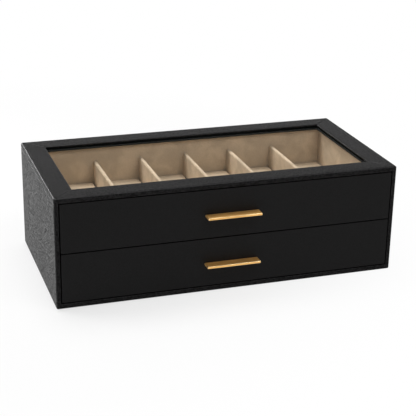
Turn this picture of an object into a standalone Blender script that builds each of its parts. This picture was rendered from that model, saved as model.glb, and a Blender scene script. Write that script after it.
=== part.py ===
"""Sunglasses organizer: a leatherette case with a window in its top and two sliding drawers.

Run it with blender --background --python part.py, or from Blender's text editor.
Lengths are metres and +Z is up. The origin is the middle of the underside, and the drawers open towards -Y.
Every board, lining, strip, pad and fastener is an object of its own.
"""

import math

import bmesh
import bpy
from mathutils import Vector

# Case
case_width = 0.400
case_depth = 0.200
case_height = 0.130
side_thickness = 0.005
top_thickness = 0.006
bottom_thickness = 0.006
back_thickness = 0.006
rail_width = 0.025
board_edge_radius = 0.0016
felt_thickness = 0.0008
felt_inset = 0.004
shelf_thickness = 0.005
shelf_groove_depth = 0.002
shelf_setback = 0.0005

# Window
lip_thickness = 0.002
glass_thickness = 0.0018
glass_bearing = 0.006
glass_edge_radius = 0.0003

# Clearances: a glued or seated joint, the reveal round the drawer fronts, and the room that the drawers run in
fit_gap = 0.0003
front_reveal = 0.0012
headroom = 0.0012
side_play = 0.0007
rear_room = 0.003

# Sheets and strips that guide the drawers
glide_thickness = 0.0008
guide_thickness = 0.002
guide_height = 0.010
bumper_height = 0.008
bumper_length = 0.240

# Drawer boards
front_thickness = 0.012
front_edge_radius = 0.0014
wall_thickness = 0.009
base_thickness = 0.0035
base_lift = 0.003
base_groove_depth = 0.004

# Suede inside the drawers
lining_thickness = 0.0027
lining_edge_radius = 0.0009
divider_count = 5
divider_thickness = 0.0046
divider_drop = 0.0165
divider_pitch_share = 0.1586
divider_edge_radius = 0.0020
pad_thickness = 0.0042
pad_web_thickness = 0.0009
pad_margin = 0.0006
pad_rim_radius = 0.0024
pad_draw_in = 0.0008
pad_crown_share = 0.3

# Finger pull and its screws
pull_length = 0.063
pull_reach = 0.012
pull_thickness = 0.00275
pull_flange_thickness = 0.003
pull_flange_height = 0.0062
pull_flange_inset = 0.0045
pull_edge_radius = 0.0009
screw_inset = 0.0105
screw_radius = 0.00145
screw_head_radius = 0.0028
screw_head_height = 0.0018
screw_engagement = 0.0020

# One overrun serves every cutter
cutter_overrun = 0.002

# Numbers of facets
edge_segments = 2
round_sides = 16
pad_rim_steps = 2
pad_crown_steps = 4

# Levels and faces that follow from the sizes
outer_x = case_width / 2
inner_x = outer_x - side_thickness
front_y = -case_depth / 2
rear_y = case_depth / 2
back_face_y = rear_y - back_thickness
case_bottom = felt_thickness + fit_gap
floor_top = case_bottom + bottom_thickness
ceiling = case_height - top_thickness
window_x = outer_x - rail_width
window_y = rear_y - rail_width
seat_x = window_x + glass_bearing
seat_y = window_y + glass_bearing
lip_bottom = case_height - lip_thickness
glass_top = lip_bottom - fit_gap
glass_bottom = glass_top - glass_thickness

front_height = (ceiling - floor_top - 3 * front_reveal) / 2
lower_front_bottom = floor_top + front_reveal
upper_front_bottom = lower_front_bottom + front_height + front_reveal
shelf_middle = upper_front_bottom - front_reveal / 2
shelf_bottom = shelf_middle - shelf_thickness / 2
shelf_top = shelf_middle + shelf_thickness / 2
shelf_front_y = front_y + front_thickness + shelf_setback

runner_height = 2 * fit_gap + glide_thickness
box_height = ceiling - headroom - shelf_top - runner_height
box_outer_x = inner_x - fit_gap - guide_thickness - side_play
box_inner_x = box_outer_x - wall_thickness
box_front_y = front_y + front_thickness + fit_gap
box_rear_y = back_face_y - rear_room
box_back_y = box_rear_y - wall_thickness
base_x = box_inner_x + base_groove_depth - fit_gap

lining_x = box_inner_x - fit_gap - lining_thickness
lining_front_y = box_front_y + lining_thickness
lining_back_y = box_back_y - fit_gap - lining_thickness
divider_pitch = 2 * lining_x * divider_pitch_share
front_x = inner_x - front_reveal

SMOOTH_ANGLE = math.radians(40)
FLAT_ANGLE = math.radians(1)
X, Y, Z = Vector((1, 0, 0)), Vector((0, 1, 0)), Vector((0, 0, 1))


def clear_scene():
    for obj in list(bpy.data.objects):
        bpy.data.objects.remove(obj)


def finish(name, colour, roughness, metallic=0.0, alpha=1.0):
    """A Principled BSDF of one colour."""
    made = bpy.data.materials.new(name)
    made.use_nodes = True
    shader = made.node_tree.nodes["Principled BSDF"]
    shader.inputs["Base Color"].default_value = (*colour, 1.0)
    shader.inputs["Roughness"].default_value = roughness
    shader.inputs["Metallic"].default_value = metallic
    shader.inputs["Alpha"].default_value = alpha
    return made


def joint_empty(name, place):
    """An empty on a joint's axis, which carries the pieces that move with it."""
    empty = bpy.data.objects.new(name, None)
    empty.location = place
    bpy.context.scene.collection.objects.link(empty)
    return empty


def add_object(name, bm, material=None, carrier=None):
    """Makes the mesh an object whose origin is the middle of its own box, carried by an empty if one is given."""
    bmesh.ops.recalc_face_normals(bm, faces=bm.faces[:])
    corners = [Vector(pick(v.co[axis] for v in bm.verts) for axis in range(3)) for pick in (min, max)]
    middle = (corners[0] + corners[1]) / 2
    bmesh.ops.translate(bm, verts=bm.verts[:], vec=-middle)
    mesh = bpy.data.meshes.new(name)
    bm.to_mesh(mesh)
    bm.free()
    mesh.shade_smooth()
    mesh.set_sharp_from_angle(angle=SMOOTH_ANGLE)
    obj = bpy.data.objects.new(name, mesh)
    bpy.context.scene.collection.objects.link(obj)
    if material:
        mesh.materials.append(material)
    if carrier:
        obj.parent = carrier
        middle = middle - carrier.location
    obj.location = middle
    return obj


def subtract(obj, cutters):
    """Cuts each cutter from the object and leaves the cutters out of the render."""
    for cutter in cutters:
        cutter.hide_render = True
        cutter.display_type = "WIRE"
        modifier = obj.modifiers.new("cut " + cutter.name, "BOOLEAN")
        modifier.operation = "DIFFERENCE"
        modifier.solver = "EXACT"
        modifier.object = cutter


def add_box(bm, low, high):
    """A cuboid between two corners."""
    made = bmesh.ops.create_cube(bm, size=1)["verts"]
    low, high = Vector(low), Vector(high)
    bmesh.ops.scale(bm, verts=made, vec=high - low)
    bmesh.ops.translate(bm, verts=made, vec=(low + high) / 2)


def box(low, high, radius=0.0):
    """A cuboid with every edge rounded, or sharp where the radius is nought."""
    bm = bmesh.new()
    add_box(bm, low, high)
    if radius:
        bmesh.ops.bevel(
            bm, geom=bm.edges[:], offset=radius, segments=edge_segments, profile=0.5, affect="EDGES"
        )
    return bm


def add_turned(bm, x, z, outline):
    """A body turned about a line along Y. The outline gives (y, radius) from its front end to its rear end."""
    rings = []
    for y, radius in outline:
        turns = [2 * math.pi * side / round_sides for side in range(round_sides)]
        rings.append([bm.verts.new((x + radius * math.cos(t), y, z + radius * math.sin(t))) for t in turns])
    for front, rear in zip(rings, rings[1:]):
        for side in range(round_sides):
            after = (side + 1) % round_sides
            bm.faces.new((front[side], front[after], rear[after], rear[side]))
    bm.faces.new(rings[0])
    bm.faces.new(rings[-1])


def mitre(outer, inner, along, towards):
    """The plane through two corners and along an axis, as a point and a normal that faces towards a point."""
    outer, inner = Vector(outer), Vector(inner)
    normal = (inner - outer).cross(along).normalized()
    if normal.dot(Vector(towards) - outer) < 0:
        normal.negate()
    return outer, normal


def trim(bm, plane, keep_beyond=False):
    """Cuts a mesh at a mitre, half a joint's gap from the plane, and closes the cut."""
    point, normal = plane
    if keep_beyond:
        normal = -normal
    cut = bmesh.ops.bisect_plane(
        bm,
        geom=bm.verts[:] + bm.edges[:] + bm.faces[:],
        plane_co=point - normal * fit_gap / 2,
        plane_no=normal,
        clear_outer=True,
    )
    rim = [part for part in cut["geom_cut"] if isinstance(part, bmesh.types.BMEdge)]
    bmesh.ops.contextual_create(bm, geom=rim)


def top_mitre(side):
    """Where a side panel meets the top frame. The normal faces the frame."""
    return mitre((side * outer_x, 0, case_height), (side * inner_x, 0, ceiling), Y, (0, 0, case_height))


def bottom_mitre(side):
    """Where a side panel meets the bottom panel. The normal faces the bottom panel."""
    return mitre((side * outer_x, 0, case_bottom), (side * inner_x, 0, floor_top), Y, (0, 0, case_bottom))


def corner_mitre(side, end_y, window_end_y):
    """Where a front or rear rail meets a side rail. The normal faces the side rail."""
    return mitre((side * outer_x, end_y, 0), (side * window_x, window_end_y, 0), Z, (side * outer_x, 0, 0))


def make_side_panels(leather, shelf_cutter):
    for name, side in (("left_side_panel", -1), ("right_side_panel", 1)):
        low_x, high_x = sorted((side * outer_x, side * inner_x))
        bm = box((low_x, front_y, case_bottom), (high_x, rear_y, case_height), board_edge_radius)
        trim(bm, top_mitre(side))
        trim(bm, bottom_mitre(side))
        subtract(add_object(name, bm, leather), [shelf_cutter])


def make_bottom_panel(leather):
    bm = box((-outer_x, front_y, case_bottom), (outer_x, rear_y, floor_top), board_edge_radius)
    for side in (-1, 1):
        trim(bm, bottom_mitre(side), keep_beyond=True)
    add_object("bottom_panel", bm, leather)


def make_back_panel(leather):
    reach_x = inner_x - fit_gap
    low = (-reach_x, back_face_y, floor_top + fit_gap)
    add_object("back_panel", box(low, (reach_x, rear_y, ceiling - fit_gap), board_edge_radius), leather)


def make_top_frame(leather):
    """Four rails with mitred corners, rabbeted underneath for the pane."""
    seat = box((-seat_x, -seat_y, ceiling - cutter_overrun), (seat_x, seat_y, lip_bottom))
    seat = add_object("glass_seat_cutter", seat)
    for name, end_y, window_end_y in (
        ("front_rail", front_y, -window_y),
        ("rear_rail", rear_y, window_y),
    ):
        low_y, high_y = sorted((end_y, window_end_y))
        bm = box((-outer_x, low_y, ceiling), (outer_x, high_y, case_height), board_edge_radius)
        for side in (-1, 1):
            trim(bm, corner_mitre(side, end_y, window_end_y))
            trim(bm, top_mitre(side), keep_beyond=True)
        subtract(add_object(name, bm, leather), [seat])
    for name, side in (("left_rail", -1), ("right_rail", 1)):
        low_x, high_x = sorted((side * outer_x, side * window_x))
        bm = box((low_x, front_y, ceiling), (high_x, rear_y, case_height), board_edge_radius)
        trim(bm, corner_mitre(side, front_y, -window_y), keep_beyond=True)
        trim(bm, corner_mitre(side, rear_y, window_y), keep_beyond=True)
        trim(bm, top_mitre(side), keep_beyond=True)
        subtract(add_object(name, bm, leather), [seat])


def make_window(glass, charcoal):
    """The pane, and four strips below it that hold it up against the lip and reach down to just above the drawer."""
    pane_x, pane_y = seat_x - fit_gap, seat_y - fit_gap
    pane = box((-pane_x, -pane_y, glass_bottom), (pane_x, pane_y, glass_top), glass_edge_radius)
    add_object("window_glass", pane, glass)
    strip_top, strip_bottom = glass_bottom - fit_gap, ceiling - headroom + fit_gap
    for name, side in (("front_glass_strip", -1), ("rear_glass_strip", 1)):
        low_y, high_y = sorted((side * window_y, side * pane_y))
        strip = box((-pane_x, low_y, strip_bottom), (pane_x, high_y, strip_top), glass_edge_radius)
        add_object(name, strip, charcoal)
    for name, side in (("left_glass_strip", -1), ("right_glass_strip", 1)):
        low_x, high_x = sorted((side * window_x, side * pane_x))
        reach_y = window_y - fit_gap
        strip = box((low_x, -reach_y, strip_bottom), (high_x, reach_y, strip_top), glass_edge_radius)
        add_object(name, strip, charcoal)


def make_shelf(board):
    """The fixed shelf between the drawers. Returns the cutter for its grooves in the side panels."""
    tongue_x = inner_x + shelf_groove_depth
    low = Vector((-tongue_x, shelf_front_y, shelf_bottom))
    high = Vector((tongue_x, back_face_y - fit_gap, shelf_top))
    slack = Vector((fit_gap, fit_gap, fit_gap))
    add_object("middle_shelf", box(low + X * fit_gap, high - X * fit_gap), board)
    return add_object("shelf_groove_cutter", box(low - slack + X * fit_gap, high + slack - X * fit_gap))


def make_runners(level, carrier_top, box_bottom, felt, plastic, rubber):
    """The sheet that one drawer runs on, the strips that it runs between and the strip that it closes against."""
    reach_x = inner_x - fit_gap
    end_y = back_face_y - fit_gap
    low = (-reach_x, shelf_front_y, carrier_top + fit_gap)
    add_object(f"{level}_glide_sheet", box(low, (reach_x, end_y, low[2] + glide_thickness)), felt)
    low_z = box_bottom + (box_height - guide_height) / 2
    for side, hand in ((-1, "left"), (1, "right")):
        low_x, high_x = sorted((side * reach_x, side * (reach_x - guide_thickness)))
        guide = box((low_x, shelf_front_y, low_z), (high_x, end_y, low_z + guide_height))
        add_object(f"{level}_{hand}_guide", guide, plastic)
    low = (-bumper_length / 2, box_rear_y + fit_gap, box_bottom + (box_height - bumper_height) / 2)
    add_object(f"{level}_bumper", box(low, (bumper_length / 2, end_y, low[2] + bumper_height)), rubber)


def divider_places():
    """The middle of each divider across the drawer."""
    return [(index - (divider_count - 1) / 2) * divider_pitch for index in range(divider_count)]


def stations(low, high):
    """Places across one cushion, each with how far it has risen over the rim and towards the crown, from 0 to 1."""
    found = []
    for step in range(pad_rim_steps + 1):
        angle = math.pi / 2 * step / pad_rim_steps
        found.append((low + pad_rim_radius * (1 - math.cos(angle)), math.sin(angle)))
    start, end = found[-1][0], high - (found[-1][0] - low)
    for step in range(1, pad_crown_steps):
        found.append((start + (end - start) * step / pad_crown_steps, 1.0))
    found += [(low + high - place, rim) for place, rim in reversed(found[: pad_rim_steps + 1])]
    return [(place, rim, math.sin(math.pi * (place - low) / (high - low))) for place, rim in found]


def floor_pad(low_y, high_y, bottom):
    """One sheet with a crowned cushion for each compartment, joined by thin webs that the dividers stand on.

    The sides of each cushion draw in between its corners.
    """
    edges = [-lining_x + fit_gap]
    for x in divider_places():
        edges += [x - divider_thickness / 2, x + divider_thickness / 2]
    edges.append(lining_x - fit_gap)
    web = bottom + pad_web_thickness
    lift = (pad_thickness - pad_web_thickness) * (1 - pad_crown_share)
    crown = (pad_thickness - pad_web_thickness) * pad_crown_share
    rows = []
    for y, rim_y, crown_y in stations(low_y, high_y):
        row = [(edges[0], web)]
        for start, end in zip(edges[::2], edges[1::2]):
            draw_in = pad_margin + pad_draw_in * crown_y
            for x, rim_x, crown_x in stations(start + draw_in, end - draw_in):
                row.append((x, web + lift * rim_x * rim_y + crown * crown_x * crown_y))
        row.append((edges[-1], web))
        rows.append([(x, y, z) for x, z in row])
    bm = bmesh.new()
    top = [[bm.verts.new(place) for place in row] for row in rows]
    for front, rear in zip(top, top[1:]):
        for index in range(len(front) - 1):
            bm.faces.new((front[index], front[index + 1], rear[index + 1], rear[index]))
    rim = top[0] + [row[-1] for row in top[1:-1]] + top[-1][::-1] + [row[0] for row in top[-2:0:-1]]
    base = [bm.verts.new((vert.co.x, vert.co.y, bottom)) for vert in rim]
    for index, vert in enumerate(rim):
        after = (index + 1) % len(rim)
        bm.faces.new((vert, base[index], base[after], rim[after]))
    bm.faces.new(base)
    return bm


def make_pull(level, middle_z, carrier, brass, steel):
    """A flat bar with a shorter flange under its rear edge, held by two screws from inside.

    Returns the cutters for the front.
    """
    face_y = front_y - fit_gap
    half = pull_length / 2
    flange_half = half - pull_flange_inset
    flange_y = face_y - pull_flange_thickness
    bm = bmesh.new()
    add_box(bm, (-half, front_y - pull_reach, middle_z - pull_thickness), (half, face_y, middle_z))
    for point, normal in ((-X * flange_half, X), (X * flange_half, X), (Y * flange_y, Y)):
        bmesh.ops.bisect_plane(
            bm, geom=bm.verts[:] + bm.edges[:] + bm.faces[:], plane_co=point, plane_no=normal
        )
    underside = []
    for face in bm.faces:
        middle = face.calc_center_median()
        if face.normal.dot(-Z) > 0.5 and abs(middle.x) < flange_half and middle.y > flange_y:
            underside.append(face)
    swept = bmesh.ops.extrude_face_region(bm, geom=underside)["geom"]
    moved = [part for part in swept if isinstance(part, bmesh.types.BMVert)]
    bmesh.ops.translate(bm, verts=moved, vec=Z * (pull_thickness - pull_flange_height))
    bmesh.ops.delete(bm, geom=underside, context="FACES_ONLY")
    bmesh.ops.dissolve_limit(bm, angle_limit=FLAT_ANGLE, verts=bm.verts[:], edges=bm.edges[:])
    bmesh.ops.recalc_face_normals(bm, faces=bm.faces[:])
    outer_edges = [edge for edge in bm.edges if edge.is_convex]
    bmesh.ops.bevel(
        bm, geom=outer_edges, offset=pull_edge_radius, segments=edge_segments, profile=0.5, affect="EDGES"
    )
    pull = add_object(f"{level}_pull", bm, brass, carrier)

    screw_z = middle_z - pull_flange_height / 2
    tip_y = face_y - screw_engagement
    head_y = front_y + front_thickness - fit_gap - screw_head_height
    hole_radius = screw_radius + fit_gap
    sockets, bores = bmesh.new(), bmesh.new()
    for side, hand in ((-1, "left"), (1, "right")):
        x = side * (half - screw_inset)
        screw = bmesh.new()
        add_turned(
            screw,
            x,
            screw_z,
            (
                (tip_y, screw_radius),
                (head_y, screw_radius),
                (head_y, screw_head_radius),
                (head_y + screw_head_height, screw_head_radius),
            ),
        )
        add_object(f"{level}_{hand}_pull_screw", screw, steel, carrier)
        add_turned(sockets, x, screw_z, ((tip_y - fit_gap, hole_radius), (face_y + cutter_overrun, hole_radius)))
        bore_step_y = head_y - fit_gap
        add_turned(
            bores,
            x,
            screw_z,
            (
                (front_y - cutter_overrun, hole_radius),
                (bore_step_y, hole_radius),
                (bore_step_y, screw_head_radius + fit_gap),
                (front_y + front_thickness + cutter_overrun, screw_head_radius + fit_gap),
            ),
        )
    subtract(pull, [add_object(f"{level}_socket_cutter", sockets, carrier=carrier)])
    return add_object(f"{level}_bore_cutter", bores, carrier=carrier)


def make_drawer(level, box_bottom, front_bottom, finishes):
    """One drawer, whose pieces are carried by an empty on its slide."""
    leather, wrap, suede, brass, steel = finishes
    slide = joint_empty(f"{level}_drawer_slide", (0, front_y, box_bottom))
    box_top = box_bottom + box_height
    base_bottom = box_bottom + base_lift
    base_top = base_bottom + base_thickness
    stand = base_top + fit_gap

    base_low = Vector((-base_x, box_front_y, base_bottom))
    base_high = Vector((base_x, box_rear_y, base_top))
    add_object(f"{level}_base_board", box(base_low, base_high), wrap, slide)
    slack = Vector((fit_gap, cutter_overrun, fit_gap))
    groove = add_object(f"{level}_groove_cutter", box(base_low - slack, base_high + slack), carrier=slide)
    for side, hand in ((-1, "left"), (1, "right")):
        low_x, high_x = sorted((side * box_outer_x, side * box_inner_x))
        wall = box((low_x, box_front_y, box_bottom), (high_x, box_rear_y, box_top), lining_edge_radius)
        subtract(add_object(f"{level}_{hand}_wall", wall, wrap, slide), [groove])
        low_x, high_x = sorted((side * (box_inner_x - fit_gap), side * lining_x))
        lining = box((low_x, box_front_y, stand), (high_x, box_back_y - fit_gap, box_top), lining_edge_radius)
        add_object(f"{level}_{hand}_lining", lining, suede, slide)
    reach_x = box_inner_x - fit_gap
    back = box((-reach_x, box_back_y, stand), (reach_x, box_rear_y, box_top), lining_edge_radius)
    add_object(f"{level}_back_wall", back, wrap, slide)

    reach_x = lining_x - fit_gap
    for end, low_y, high_y in (
        ("front", box_front_y, lining_front_y),
        ("back", lining_back_y, lining_back_y + lining_thickness),
    ):
        lining = box((-reach_x, low_y, stand), (reach_x, high_y, box_top), lining_edge_radius)
        add_object(f"{level}_{end}_lining", lining, suede, slide)

    low_y, high_y = lining_front_y + fit_gap, lining_back_y - fit_gap
    add_object(f"{level}_floor_pad", floor_pad(low_y, high_y, stand), suede, slide)
    foot = stand + pad_web_thickness + fit_gap
    for index, x in enumerate(divider_places()):
        low = (x - divider_thickness / 2, low_y, foot)
        high = (x + divider_thickness / 2, high_y, box_top - divider_drop)
        add_object(f"{level}_divider_{index + 1}", box(low, high, divider_edge_radius), suede, slide)

    front_top = front_bottom + front_height
    front = box((-front_x, front_y, front_bottom), (front_x, front_y + front_thickness, front_top), front_edge_radius)
    front = add_object(f"{level}_drawer_front", front, leather, slide)
    subtract(front, [make_pull(level, (front_bottom + front_top) / 2, slide, brass, steel)])


def make_organizer():
    clear_scene()
    grained = finish("black_grained_leatherette", (0.022, 0.022, 0.024), 0.55)
    smooth = finish("black_smooth_leatherette", (0.013, 0.013, 0.014), 0.5)
    wrap = finish("black_paper_wrap", (0.016, 0.015, 0.015), 0.8)
    suede = finish("taupe_suede", (0.42, 0.32, 0.22), 0.95)
    brass = finish("brushed_brass", (0.72, 0.45, 0.17), 0.32, metallic=1.0)
    steel = finish("zinc_plated_steel", (0.6, 0.6, 0.62), 0.35, metallic=1.0)
    glass = finish("clear_glass", (0.93, 0.97, 0.96), 0.03, alpha=0.2)
    charcoal = finish("charcoal_strip", (0.06, 0.06, 0.063), 0.6)
    felt = finish("black_felt", (0.02, 0.02, 0.02), 1.0)
    rubber = finish("grey_rubber", (0.12, 0.12, 0.12), 0.8)

    make_side_panels(grained, make_shelf(wrap))
    make_bottom_panel(grained)
    make_back_panel(grained)
    make_top_frame(grained)
    make_window(glass, charcoal)
    felt_x, felt_y = outer_x - felt_inset, rear_y - felt_inset
    add_object("base_felt", box((-felt_x, -felt_y, 0), (felt_x, felt_y, felt_thickness)), felt)

    levels = (
        ("lower", floor_top, lower_front_bottom),
        ("upper", shelf_top, upper_front_bottom),
    )
    for level, carrier_top, front_bottom in levels:
        box_bottom = carrier_top + runner_height
        make_runners(level, carrier_top, box_bottom, felt, charcoal, rubber)
        make_drawer(level, box_bottom, front_bottom, (smooth, wrap, suede, brass, steel))


make_organizer()
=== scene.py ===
"""Sunglasses organizer: two drawers in a wrapped case that has a window in its top.

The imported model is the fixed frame. Each visible piece is modelled round it, rides on one of its
bodies, and takes its place from the boxes of the frame's nodes. Lengths are in metres.
"""

import math

import bpy
from mathutils import Matrix, Vector


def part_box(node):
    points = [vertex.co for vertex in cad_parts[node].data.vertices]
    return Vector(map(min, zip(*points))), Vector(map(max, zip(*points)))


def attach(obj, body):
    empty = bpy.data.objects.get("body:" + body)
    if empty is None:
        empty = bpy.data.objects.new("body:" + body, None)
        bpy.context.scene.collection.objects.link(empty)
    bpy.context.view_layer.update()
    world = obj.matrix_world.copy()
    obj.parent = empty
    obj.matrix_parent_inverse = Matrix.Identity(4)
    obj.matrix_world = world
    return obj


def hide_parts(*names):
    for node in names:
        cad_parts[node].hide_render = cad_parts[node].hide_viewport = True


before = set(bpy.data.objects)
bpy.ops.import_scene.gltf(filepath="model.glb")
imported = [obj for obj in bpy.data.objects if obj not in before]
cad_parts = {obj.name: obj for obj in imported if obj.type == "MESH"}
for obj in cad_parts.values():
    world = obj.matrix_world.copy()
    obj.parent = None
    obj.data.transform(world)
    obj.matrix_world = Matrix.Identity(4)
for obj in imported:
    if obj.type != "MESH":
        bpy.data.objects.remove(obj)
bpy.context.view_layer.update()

bl_info = {
    "name": "Sunglasses organizer",
    "version": (1, 0, 0),
    "blender": (4, 5, 0),
    "location": "3D View > Sidebar > Organizer",
    "description": "Models a two drawer organizer with a window in its top",
    "category": "Add Mesh",
}

LEVELS = ("lower", "upper")
SIDES = (("left", -1), ("right", 1))
X_AXIS = Vector((1, 0, 0))
Y_AXIS = Vector((0, 1, 0))
Z_AXIS = Vector((0, 0, 1))
NEAR = 0.00002
FLOOR_DROP = 0.0001
ALIGNED = 0.9
BUMPER_NOSE = 0.0018
HEAD_ROOM_DEPTH = 0.0024
SCREW_SKIN = 0.0007
LINING_WAVE = 0.03
DIVIDER_WAVE = 0.028
CUSHION_VOXEL = 0.0016
CUSHION_PRESSURE = 4.0
CUSHION_FRAMES = 20
CEILING_EDGE = (0.24, 0.37)
SHADOW_MIDDLE = (-0.3, 0.25, 0.0)
SHADOW_EDGE = (0.3, 0.7)

# Places that the frame gives

rim_low, rim_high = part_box("left_side_panel")
top_low, top_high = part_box("front_rail")
bottom_low, bottom_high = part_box("bottom_panel")
glass_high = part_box("window_glass")[1]
case_low = Vector((rim_low.x, rim_low.y, bottom_low.z))
case_high = Vector((-rim_low.x, rim_high.y, top_high.z))
side_thickness = rim_high.x - rim_low.x
top_thickness = top_high.z - top_low.z
fit_gap = bottom_low.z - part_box("base_felt")[1].z
window_half = Vector((-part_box("left_rail")[1].x, -top_high.y, 0))
seat_half = Vector((glass_high.x + fit_gap, glass_high.y + fit_gap, 0))
lip_bottom = glass_high.z + fit_gap


def length(name, description, default):
    """A size in metres that a user can change."""
    return bpy.props.FloatProperty(name=name, description=description, default=default, unit="LENGTH")


def tint(name, description, default):
    """A colour that a user can change."""
    return bpy.props.FloatVectorProperty(name=name, description=description, default=default, subtype="COLOR")


class CaseSizes(bpy.types.PropertyGroup):
    """Sizes of the wrapped boards of the case."""

    edge_radius: length("Edge radius", "Rounding of the outer edges, where the wrap turns a corner", 0.0019)
    opening_radius: length("Opening radius", "Rounding of the rim's inner edges round the drawers", 0.0006)
    window_radius: length("Window radius", "Rounding of the top edge of the window", 0.0012)
    seam_radius: length("Seam radius", "Radius of the groove where two edges of the wrap meet", 0.001)
    seam_lift: length("Seam lift", "How far outside the leather the axis of the groove runs", 0.0004)
    wrap_drop: length("Wrap seam drop", "Distance of the wrap seam on each side below the top", 0.0062)


class DrawerSizes(bpy.types.PropertyGroup):
    """Sizes of what makes up a drawer."""

    front_radius: length("Front radius", "Rounding of the outer edges of a drawer front", 0.0008)
    pull_radius: length("Pull radius", "Rounding of the edges of a pull", 0.0008)
    pull_thickness: length("Pull thickness", "Thickness of the plate that the fingers hold", 0.00275)
    pull_flange: length("Flange thickness", "Thickness of the flange that is screwed to the front", 0.003)
    pull_inset: length("Flange inset", "How far the flange stops short of each end of the plate", 0.0045)
    screw_radius: length("Screw hole radius", "Radius of the holes for the pull's screws", 0.00175)
    lining_radius: length("Lining radius", "Rounding of the top edges of a lining", 0.0011)
    divider_radius: length("Divider radius", "Rounding of the top edges of a divider", 0.0021)
    softness: length("Softness", "How far padded faces stray from flat", 0.0003)
    cushion_crown: length(
        "Cushion crown", "How far the stuffing lifts the middle of a floor cushion", 0.0014
    )
    cushion_margin: length(
        "Cushion margin",
        "Room between a floor cushion and what stands round it, before it is stuffed",
        0.0011,
    )


class Finishes(bpy.types.PropertyGroup):
    """Colours and grain of every finish."""

    leather: tint("Grained leatherette", "Colour of the wrap of the case", (0.0085, 0.0082, 0.0084))
    front_leather: tint("Smooth leatherette", "Colour of the drawer fronts", (0.0075, 0.0073, 0.0074))
    suede: tint("Suede", "Colour of the linings, dividers and cushions", (0.60, 0.478, 0.338))
    brass: tint("Brass", "Colour of the pulls", (1.0, 0.58, 0.19))
    paper: tint(
        "Paper wrap", "Colour of the paper round the drawer boards and the shelf", (0.012, 0.0115, 0.011)
    )
    charcoal: tint(
        "Charcoal strip", "Colour of the strips that hold the window glass", (0.018, 0.0185, 0.0165)
    )
    felt: tint("Felt", "Colour of the felt under the case and the drawers", (0.011, 0.011, 0.012))
    guide: tint("Guide strip", "Colour of the plastic strips that guide the drawers", (0.03, 0.03, 0.032))
    rubber: tint("Rubber", "Colour of the bumpers", (0.014, 0.014, 0.014))
    steel: tint("Steel", "Colour of the screws", (0.56, 0.55, 0.53))
    pebble: length("Pebble", "Width of one pebble of the leather's grain", 0.0013)
    grain_depth: length("Grain depth", "Depth of the leather's grain", 0.0003)


class StageSettings(bpy.types.PropertyGroup):
    """The floor, the lamps and the camera."""

    room_light: bpy.props.FloatProperty(
        name="Room light",
        description="Strength of the light that comes evenly from all round",
        default=0.38,
    )
    floor_glow: bpy.props.FloatProperty(
        name="Floor glow",
        description="Share of plain white in the floor, which keeps its shadow faint",
        default=0.68,
        min=0.0,
        max=1.0,
    )
    ceiling: bpy.props.FloatProperty(
        name="Ceiling",
        description="Strength of the upper part of the room, against the white of its walls",
        default=0.08,
        min=0.0,
        max=1.0,
    )
    lens: bpy.props.FloatProperty(
        name="Lens",
        description="Focal length of the camera in millimetres",
        default=100.30,
    )
    yaw: bpy.props.FloatProperty(
        name="Yaw",
        description="How far the camera looks round from the left",
        default=math.radians(18.6776),
        subtype="ANGLE",
    )
    pitch: bpy.props.FloatProperty(
        name="Pitch",
        description="How far the camera looks down",
        default=math.radians(21.1737),
        subtype="ANGLE",
    )
    roll: bpy.props.FloatProperty(
        name="Roll",
        description="How far the camera leans",
        default=math.radians(1.0974),
        subtype="ANGLE",
    )
    camera_place: bpy.props.FloatVectorProperty(
        name="Camera place",
        description="Where the camera stands",
        default=(-0.40961, -1.22666, 0.56298),
        subtype="TRANSLATION",
    )


# Modelling, step by step as by hand


def take(piece):
    """Makes this piece the only one selected, and the active one."""
    bpy.ops.object.select_all(action="DESELECT")
    piece.select_set(True)
    bpy.context.view_layer.objects.active = piece


def block(name, low, high):
    """A closed block between two corners, with its place in its mesh."""
    low = Vector(low)
    high = Vector(high)
    bpy.ops.object.select_all(action="DESELECT")
    bpy.ops.mesh.primitive_cube_add(size=1, location=(low + high) / 2)
    piece = bpy.context.active_object
    piece.name = name
    piece.data.name = name
    piece.scale = high - low
    bpy.ops.object.transform_apply(location=True, rotation=True, scale=True)
    return piece


def nothing_picked(piece, mode):
    """Leaves the piece with nothing selected in its mesh, in object mode."""
    take(piece)
    bpy.ops.object.mode_set(mode="EDIT")
    bpy.ops.mesh.select_mode(type=mode)
    bpy.ops.mesh.select_all(action="DESELECT")
    bpy.ops.object.mode_set(mode="OBJECT")


def pick_edges(piece, test):
    """Opens the piece for editing with the edges selected whose two ends pass the test."""
    nothing_picked(piece, "EDGE")
    points = piece.data.vertices
    for edge in piece.data.edges:
        first, second = (points[index].co for index in edge.vertices)
        edge.select = test(first, second)
    bpy.ops.object.mode_set(mode="EDIT")


def pick_faces(piece, test):
    """Opens the piece for editing with the faces selected whose middle and normal pass the test."""
    nothing_picked(piece, "FACE")
    for face in piece.data.polygons:
        face.select = test(face.center, face.normal)
    bpy.ops.object.mode_set(mode="EDIT")


def close_edit():
    """Leaves edit mode."""
    bpy.ops.object.mode_set(mode="OBJECT")


def lies_on(x=None, y=None, z=None):
    """A test for edges that lie on all of the given planes."""
    wanted = [(axis, value) for axis, value in enumerate((x, y, z)) if value is not None]

    def test(first, second):
        return all(abs(end[axis] - value) < NEAR for end in (first, second) for axis, value in wanted)

    return test


def round_edges(piece, radius, segments, *tests):
    """Rounds the edges that pass any of the tests, all in one step so that corners stay true."""
    pick_edges(piece, lambda first, second: any(test(first, second) for test in tests))
    bpy.ops.mesh.bevel(offset=radius, segments=segments, profile=0.5, affect="EDGES", clamp_overlap=False)
    close_edit()


def every_edge(first, second):
    """A test that every edge passes."""
    return True


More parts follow.
